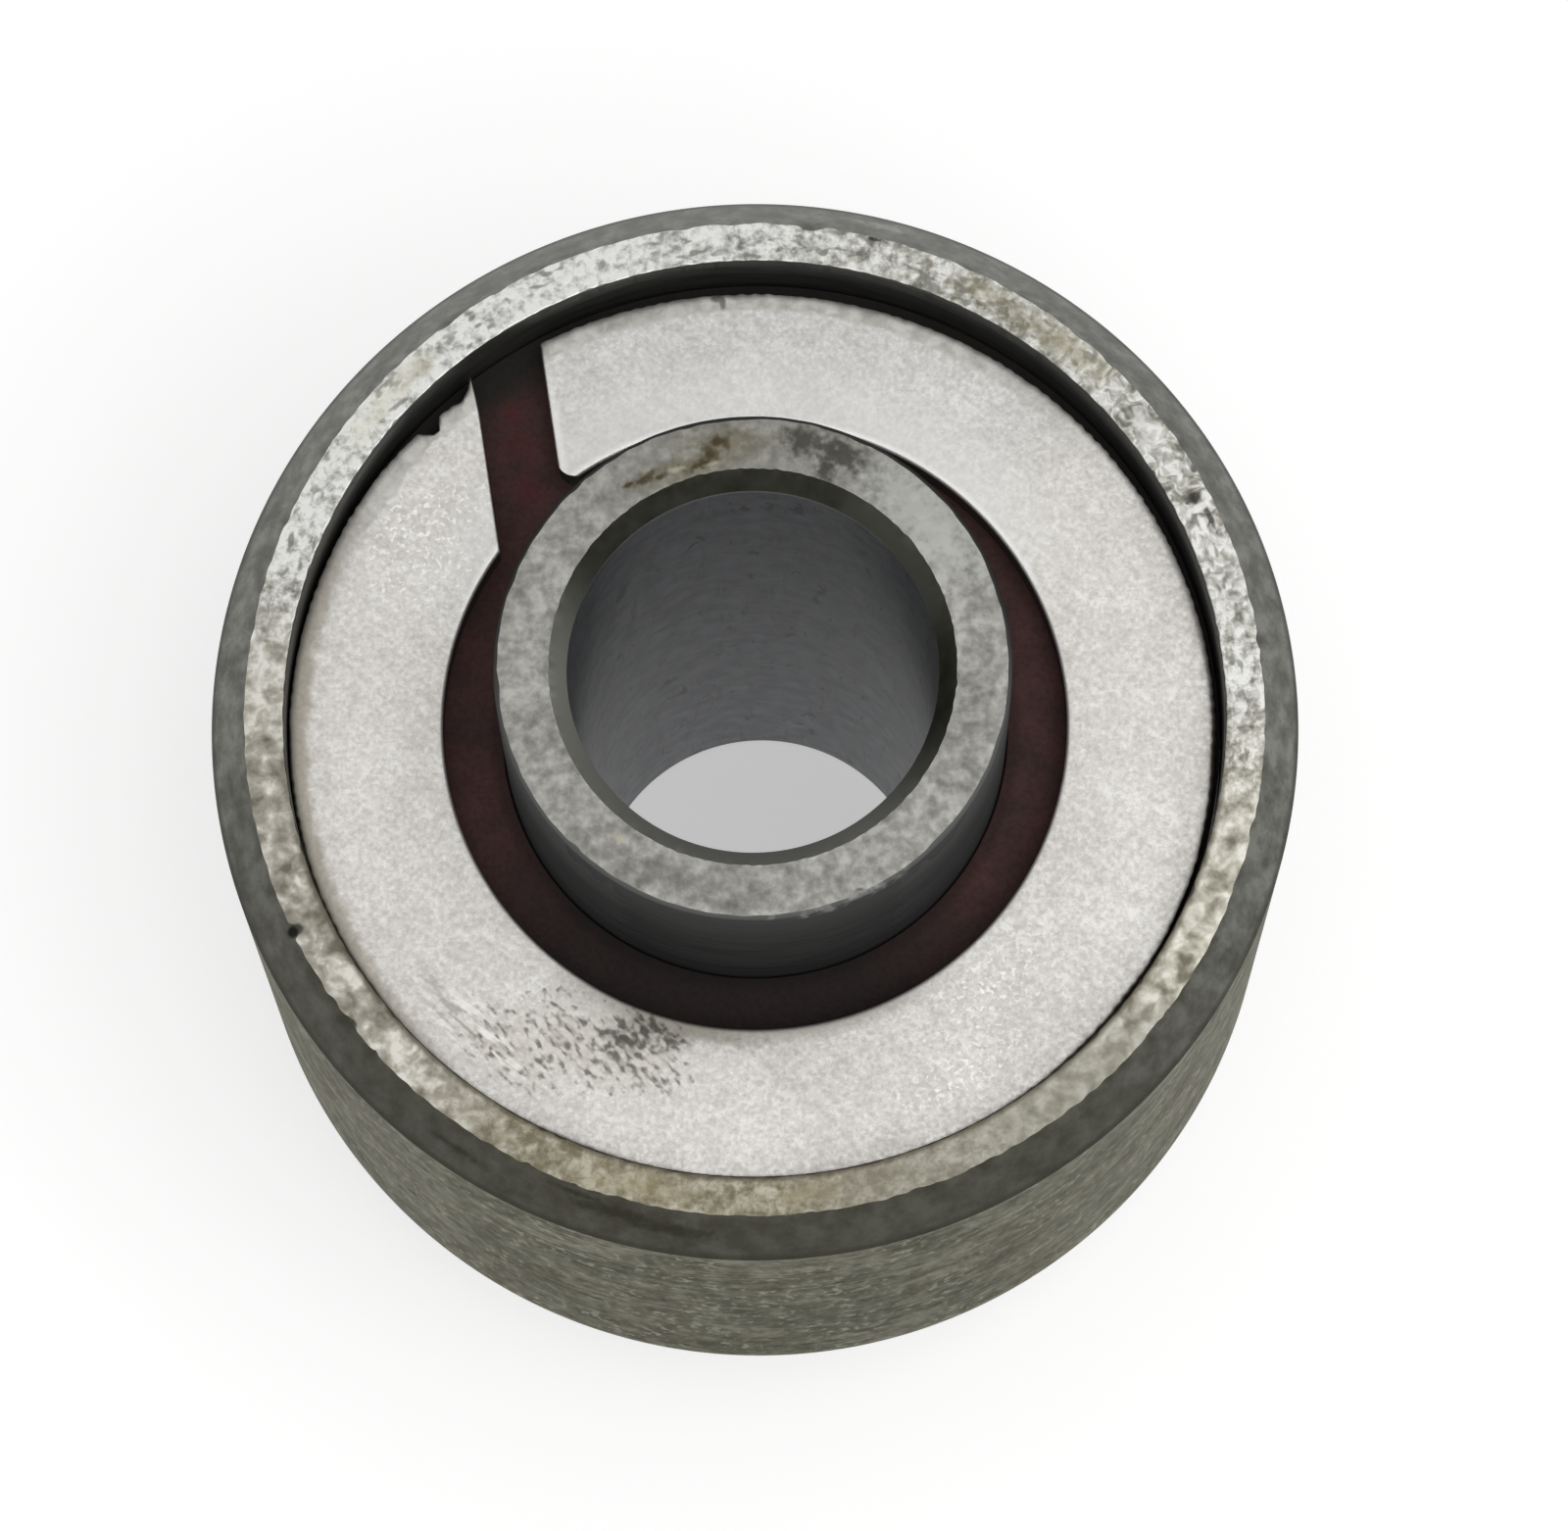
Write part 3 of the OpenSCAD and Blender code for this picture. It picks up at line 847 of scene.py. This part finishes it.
def wear_outer_ring(angle, r, z):
    """Ragged edges of the face with some pits, and the points beside them, which follow."""
    face_edge_r = outer_r - edge_chamfer_r
    mouth_r = recess_r + mouth_round
    on_face = np.isclose(np.abs(z), outer_half)
    side = np.sign(z)
    ragged = face_edge_wear + face_edge_wave * ripple(angle, low=12, high=170, seed=1)
    ragged = ragged + chips(angle, count=30, width=(0.7, 3), depth=(0.01, 0.035), seed=2)
    for place, half_width, deep in edge_pits:
        ragged = ragged + deep * dent(angle, math.radians(place), math.radians(half_width)) * (side > 0)
    ragged = np.clip(ragged, 0, face_edge_most)
    inside = mouth_wear * (1 + ripple(angle, low=20, high=200, seed=3))
    inside = inside + chips(angle, count=24, width=(0.6, 2.5), depth=(0.005, 0.025), seed=4)
    inside = np.clip(inside, 0, mouth_most)
    worn_r = worn_face(r, on_face, mouth_r, face_edge_r, inside, ragged)
    # The first row below the face's edge follows the chips
    drop = (outer_half - np.abs(z)) / edge_chamfer_z
    below = (drop > 0.01) & (drop < 0.2) & (r > face_edge_r)
    worn_z = z - np.where(below, side * ragged * chamfer_follows_z, 0)
    worn_r = worn_r + np.where(below, ragged * chamfer_follows_r, 0)
    # The rounded mouth follows the nicks at its own edge
    on_mouth = (np.abs(z) > outer_half - mouth_round * 0.99) & ~on_face & (r < mouth_r)
    worn_z = worn_z - np.where(on_mouth, side * inside * mouth_follows_z, 0)
    return worn_r, worn_z


# Inner ring
def inner_ring_profile():
    groove_centre_r = inner_groove_bottom + groove_r
    reach, groove_half = groove_reach(groove_centre_r, inner_shoulder_r)
    corner = (neck_r - neck_round, inner_half - neck_round)
    bore_middle = 1.0
    middle_z = row_z - groove_half
    shoulder = path((inner_shoulder_r, -middle_z), (inner_shoulder_r, middle_z, 1, "race"))
    upper = arc((groove_centre_r, row_z), groove_r, 180 + reach, 180 - reach, 7, "race")
    upper += path(
        (inner_shoulder_r, row_z + groove_half),
        (inner_shoulder_r, shoulder_z, 1, "race"),
        (neck_r, shoulder_z, 1, "neck"),
        (neck_r, corner[1], 6, "neck"),
    )
    upper += arc(corner, neck_round, 0, 90, 8, "neck")
    upper += path(
        (corner[0], inner_half),
        (bore_r + bore_chamfer_r, inner_half, 8, "face"),
        (bore_r, inner_half - bore_chamfer_z, 4, "chamfer"),
        (bore_r, bore_middle, 6, "bore"),
    )
    return closed_profile(shoulder, upper, (bore_r, bore_middle), "bore")


def wear_inner_ring(angle, r, z):
    """Slightly uneven edges of the end faces."""
    on_face = np.isclose(np.abs(z), inner_half)
    outer_edge = neck_r - neck_round
    inner_edge = bore_r + bore_chamfer_r
    uneven = neck_edge_wave * ripple(angle, low=6, high=60, seed=5)
    uneven = uneven + chips(angle, count=10, width=(3, 9), depth=(0.01, 0.025), seed=6)
    inside = bore_edge_wave * ripple(angle, low=12, high=120, seed=7)
    inside = inside + chips(angle, count=10, width=(2, 6), depth=(0.005, 0.015), seed=8)
    worn_r = worn_face(r, on_face, inner_edge, outer_edge, inside, uneven)
    # The rounded edge follows
    on_round = ~on_face & (np.abs(z) > inner_half - neck_round) & (r > outer_edge)
    drop = np.clip((inner_half - np.abs(z)) / neck_round, 0, 1)
    return worn_r - np.where(on_round, uneven * (1 - drop), 0), z


def seal_profile():
    """Section of the upper seal disc with softly rounded edges."""
    e = seal_edge
    profile = path((seal_out_r, seal_seat_z), (seal_out_r, seal_top_z - e, 2, "seal"))
    profile += arc((seal_out_r - e, seal_top_z - e), e, 0, 90, 4, "seal")
    profile += path((seal_out_r - e, seal_top_z), (seal_in_r + e, seal_top_z, 14, "seal"))
    profile += arc((seal_in_r + e, seal_top_z - e), e, 90, 180, 4, "seal")
    corner = (seal_in_r, seal_seat_z, 2, "seal")
    return profile + path((seal_in_r, seal_top_z - e), corner, (seal_out_r, seal_seat_z, 2, "seal"))


# Split plates
# Columns of points, as shares of the way round from slot edge to slot edge: beside the slot, all the way
# round, and along the spike of the worn plate
columns_beside_slot = (0, 0.0004, 0.0008, 0.0013)
columns_from = 0.0026
columns_round = 900
spike_columns_from = 0.0016
spike_columns_to = 0.04
spike_columns = 160

# First guesses for the angles of the slot's edges, and the rounds that make them exact
slot_left_guess = math.radians(120)
slot_right_guess = math.radians(110)
slot_rounds = 6


def slot_edge_angles(r):
    """Angles of the slot's left and right edge at radius r, in a frame where the slot runs towards +Y."""
    left = np.arccos(-(slot_offset + slot_w / 2) / r)
    edge_x = -slot_offset + slot_w / 2
    right = np.arccos(edge_x / r)
    centre_x = edge_x + corner_inset
    centre_distance = plate_hole_r + corner_inset
    centre_y = math.sqrt(centre_distance ** 2 - centre_x ** 2)
    cosine = (r ** 2 + centre_distance ** 2 - slot_corner ** 2) / (2 * r * centre_distance)
    spread = np.arccos(np.clip(cosine, -1, 1))
    rounded = math.atan2(centre_y, centre_x) + spread
    return left, np.where(r < centre_distance + corner_margin, np.minimum(right, rounded), right)


def rim_reach(turn):
    """Distance from the axis to the rim of a plate, which lies off the axis and is a little oval."""
    away = turn - rim_shift_angle
    circle = rim_shift * np.cos(away) + np.sqrt(plate_r ** 2 - (rim_shift * np.sin(away)) ** 2)
    return circle + rim_oval * (np.cos(turn - rim_oval_angle) ** 2 - rim_oval_level)


def plate_section():
    """Section of the upper plate, with rounded edges at the hole and at the rim."""
    e = plate_edge
    low = seal_top_z
    high = plate_top_z
    corner_r = plate_hole_r + slot_corner + corner_margin
    rim = (plate_r, high - rim_roll_z, 2, 0)
    section = path((plate_hole_r, low), (corner_r, low, 6, 0), (plate_r, low, 8, 0), rim)
    roll = np.radians(np.arange(6) / 6 * 90)
    roll_r = plate_r - rim_roll_w * (1 - np.cos(roll))
    roll_z = high - rim_roll_z * (1 - np.sin(roll))
    section += [(r, z, 0) for r, z in zip(roll_r, roll_z)]
    section += path((plate_r - rim_roll_w, high), (corner_r, high, 16, 0), (plate_hole_r + e, high, 9, 0))
    section += arc((plate_hole_r + e, high - e), e, 90, 180, 4, 0)
    section += path((plate_hole_r, high - e), (plate_hole_r, low, 2, 0))
    return np.array(section)[:, :2]


def plate_columns(worn):
    """Shares of the way round from the slot's left edge to its right edge, closer together near it."""
    beside_slot = np.array(columns_beside_slot)
    even = np.linspace(columns_from, 1 - columns_from, columns_round)
    share = np.concatenate([beside_slot, even, 1 - beside_slot[::-1]])
    if worn:
        along_spike = np.linspace(spike_columns_from, spike_columns_to, spike_columns)
        share = np.concatenate([share, along_spike])
    return np.unique(share)


def round_slot_edges(x, y, z):
    """Heights of a plate's points, with the top edges along the slot rounded."""
    e = plate_edge
    to_edge = np.minimum(np.abs(x + slot_offset - slot_w / 2), np.abs(x + slot_offset + slot_w / 2))
    near_slot = (y > 0) & (to_edge < e) & (z > plate_top_z - rim_roll_z - e)
    fall = e - np.sqrt(np.clip(e ** 2 - (e - to_edge) ** 2, 0, None))
    return np.where(near_slot, np.minimum(z, plate_top_z - fall), z)


def wear_rim(turn, past_slot, slot_angle, from_hole, r, z):
    """Radii and heights with the spike beside the slot, the nick and the wear of the upper plate's rim."""
    outer = np.clip(1 - (1 - from_hole) / rim_worn_share, 0, 1) ** 2
    r = r + outer * np.interp(np.degrees(past_slot), *zip(*spike_outline))
    from_nick = np.abs((np.degrees(turn + slot_angle) + 180) % 360 - 180 - nick_angle)
    nick_half = math.degrees(nick_w / 2 / plate_r)
    r = r - outer * nick_depth * np.interp(from_nick, [nick_floor * nick_half, nick_half], [1, 0])
    r = r - outer * rim_wear * (1 + ripple(turn, low=30, high=260, seed=9))
    waves = np.clip(ripple(turn, low=3, high=14, seed=10), -1, 1)
    on_top = z > (seal_top_z + plate_top_z) / 2
    return r, z - rim_wave * waves * outer * on_top


def split_plate(name, slot_angle, material, worn):
    """A split plate with rounded top edges and a rolled rim, as if for the upper end."""
    section = plate_section()
    share = plate_columns(worn)
    z = np.repeat(section[:, 1:], len(share), 1)
    from_hole = (section[:, :1] - plate_hole_r) / (plate_r - plate_hole_r)

    def reach(turn):
        return plate_hole_r + from_hole * (rim_reach(turn + slot_angle) - plate_hole_r)

    # Each edge of the slot is straight, so its angle depends on the radius there: found in a few rounds
    left = np.full_like(from_hole, slot_left_guess)
    right = np.full_like(from_hole, slot_right_guess)
    for _ in range(slot_rounds):
        left = slot_edge_angles(reach(left))[0]
        right = slot_edge_angles(reach(right))[1]
    turn = left + share[None, :] * (right + 2 * math.pi - left)
    r = reach(turn)
    z = round_slot_edges(r * np.cos(turn), r * np.sin(turn), z)
    if worn:
        r, z = wear_rim(turn, turn - left, slot_angle, from_hole, r, z)
    index = np.arange(turn.size).reshape(turn.shape)
    following = np.roll(index, -1, 0)
    corners = [index[:, :-1], index[:, 1:], following[:, 1:], following[:, :-1]]
    quads = np.stack(corners, -1).reshape(-1, 4).tolist()
    # The slot's walls close the section at both ends
    quads.append(index[:, 0].tolist())
    quads.append(index[::-1, -1].tolist())
    return new_piece(name, vertices_at(turn + slot_angle, r, z), quads, [0] * len(quads), [material])


def turn_over(piece):
    """Mirrors a piece in the middle plane and turns its faces the right way out again."""
    piece.data.transform(Matrix.Scale(-1, 4, (0, 0, 1)))
    piece.data.flip_normals()
    return piece


# Pieces
steel = {
    "wall": wall_steel(),
    "edge": edge_steel(),
    "face": face_steel(),
    "recess": recess_steel(),
    "race": race_steel(),
}
inner_steel = {
    "race": steel["race"],
    "neck": neck_steel(),
    "face": inner_face_steel(),
    "chamfer": bore_chamfer_steel(),
    "bore": bore_steel(),
}
rubber = {"seal": seal_rubber()}
plate_finish = plate_steel()
ball_finish = ball_steel()
cage_finish = cage_plastic()

# Points round the turned pieces
outer_ring_steps = 1200
inner_ring_steps = 900
seal_steps = 480


def dress(piece, body, node):
    """A piece that stands for a CAD node and moves with its body."""
    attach(piece, body)
    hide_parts(node)


outer = lathe("outer_ring_turned", outer_ring_profile(), steel, outer_ring_steps, wear_outer_ring)
dress(outer, "outer_ring", "outer_ring")
inner = lathe("inner_ring_turned", inner_ring_profile(), inner_steel, inner_ring_steps, wear_inner_ring)
dress(inner, "inner_ring", "inner_ring")
upper_seal = lathe("upper_seal_disc", seal_profile(), rubber, seal_steps)
dress(upper_seal, "outer_ring", "upper_seal")
lower_seal = turn_over(lathe("lower_seal_disc", seal_profile(), rubber, seal_steps))
dress(lower_seal, "outer_ring", "lower_seal")
upper_plate = split_plate("upper_split_plate", upper_slot_angle, plate_finish, True)
dress(upper_plate, "outer_ring", "upper_plate")
lower_plate = turn_over(split_plate("lower_split_plate", lower_slot_angle, plate_finish, False))
dress(lower_plate, "outer_ring", "lower_plate")

for name, node in frame["nodes"].items():
    for part, finish in (("ball", ball_finish), ("cage", cage_finish)):
        if part in name:
            node.data.materials.clear()
            node.data.materials.append(finish)


def seen_by_rays(tree):
    """1 for rays from the camera, reflections and rays through glass, and 0 for light on the object."""
    rays = add(tree, "ShaderNodeLightPath").outputs
    total = rays["Is Camera Ray"]
    for name in ("Is Glossy Ray", "Is Transmission Ray"):
        most = add(tree, "ShaderNodeMath", total, rays[name])
        most.operation = "MAXIMUM"
        total = most.outputs[0]
    return total


def choose(tree, first, second):
    """The first shader as a light, and the second where it is seen."""
    return add(tree, "ShaderNodeMixShader", seen_by_rays(tree), first, second).outputs[0]


# Floor: plain and pale, and white with a soft shadow where it is seen. Its half width is in metres.
floor_half = 3.0
floor_glow = 0.48


def make_floor():
    corners = [(x, y, -inner_half * MM) for x, y in ((-1, -1), (1, -1), (1, 1), (-1, 1))]
    mesh = bpy.data.meshes.new("floor")
    mesh.from_pydata([(x * floor_half, y * floor_half, z) for x, y, z in corners], [], [(0, 1, 2, 3)])
    floor = bpy.data.objects.new("floor", mesh)
    bpy.context.scene.collection.objects.link(floor)
    material = bpy.data.materials.new("floor_white")
    material.use_nodes = True
    tree = material.node_tree
    plain = tree.nodes["Principled BSDF"]
    plain.inputs["Base Color"].default_value = (0.7, 0.7, 0.7, 1)
    plain.inputs["Roughness"].default_value = 0.9
    plain.inputs["Specular IOR Level"].default_value = 0.2
    glow = add(tree, "ShaderNodeEmission", Strength=floor_glow)
    both = add(tree, "ShaderNodeAddShader", plain.outputs[0], glow.outputs[0])
    surface = choose(tree, plain.outputs[0], both.outputs[0])
    feed(tree, tree.nodes["Material Output"].inputs["Surface"], surface)
    mesh.materials.append(material)


# World: white where it is seen, and a soft studio dome for the light, brighter from above
dome_low = 0.35
dome_high = 0.8
dome_full_at = 0.8


def make_world():
    world = bpy.data.worlds.new("studio")
    bpy.context.scene.world = world
    world.use_nodes = True
    tree = world.node_tree
    tree.nodes.clear()
    way = add(tree, "ShaderNodeTexCoord").outputs["Generated"]
    height = add(tree, "ShaderNodeSeparateXYZ", way).outputs["Z"]
    strength = add(tree, "ShaderNodeMapRange", height, 0.0, dome_full_at, dome_low, dome_high)
    strength.interpolation_type = "SMOOTHSTEP"
    dome = add(tree, "ShaderNodeBackground", Strength=strength.outputs[0])
    white = add(tree, "ShaderNodeBackground", Strength=1.0)
    add(tree, "ShaderNodeOutputWorld", Surface=choose(tree, dome.outputs[0], white.outputs[0]))


def make_lamp(name, place, size, power):
    """A square soft lamp that points at the origin. Place and size are in metres, power in watts."""
    data = bpy.data.lights.new(name, "AREA")
    data.size = size
    data.energy = power
    lamp = bpy.data.objects.new(name, data)
    lamp.location = place
    lamp.rotation_mode = "QUATERNION"
    lamp.rotation_quaternion = (-Vector(place)).to_track_quat("-Z", "Y")
    bpy.context.scene.collection.objects.link(lamp)


# Camera at the photograph's angle. The image is 1600 wide, and the focal length is in its pixels.
image_w = 1600
focal_px = 7604
camera_back = 3.232 * outer_r
camera_up = 13.24 * outer_r + outer_half
camera_tilt = 0.2321
camera_side_tilt = -0.0037
camera_roll = -0.0370
sensor_w = 36


def make_camera():
    data = bpy.data.cameras.new("camera")
    data.sensor_width = sensor_w
    data.lens = focal_px / image_w * sensor_w
    data.clip_start = 0.01
    camera = bpy.data.objects.new("camera", data)
    bpy.context.scene.collection.objects.link(camera)
    turned = Matrix.Rotation(camera_tilt, 4, "X") @ Matrix.Rotation(camera_side_tilt, 4, "Y")
    turned = turned @ Matrix.Rotation(camera_roll, 4, "Z")
    camera.matrix_world = Matrix.Translation((0, -camera_back * MM, camera_up * MM)) @ turned
    bpy.context.scene.camera = camera


make_floor()
make_world()
make_lamp("key_lamp", place=(0.14, -0.15, 0.42), size=0.45, power=0.9)
make_camera()
bpy.context.scene.view_settings.view_transform = "Standard"
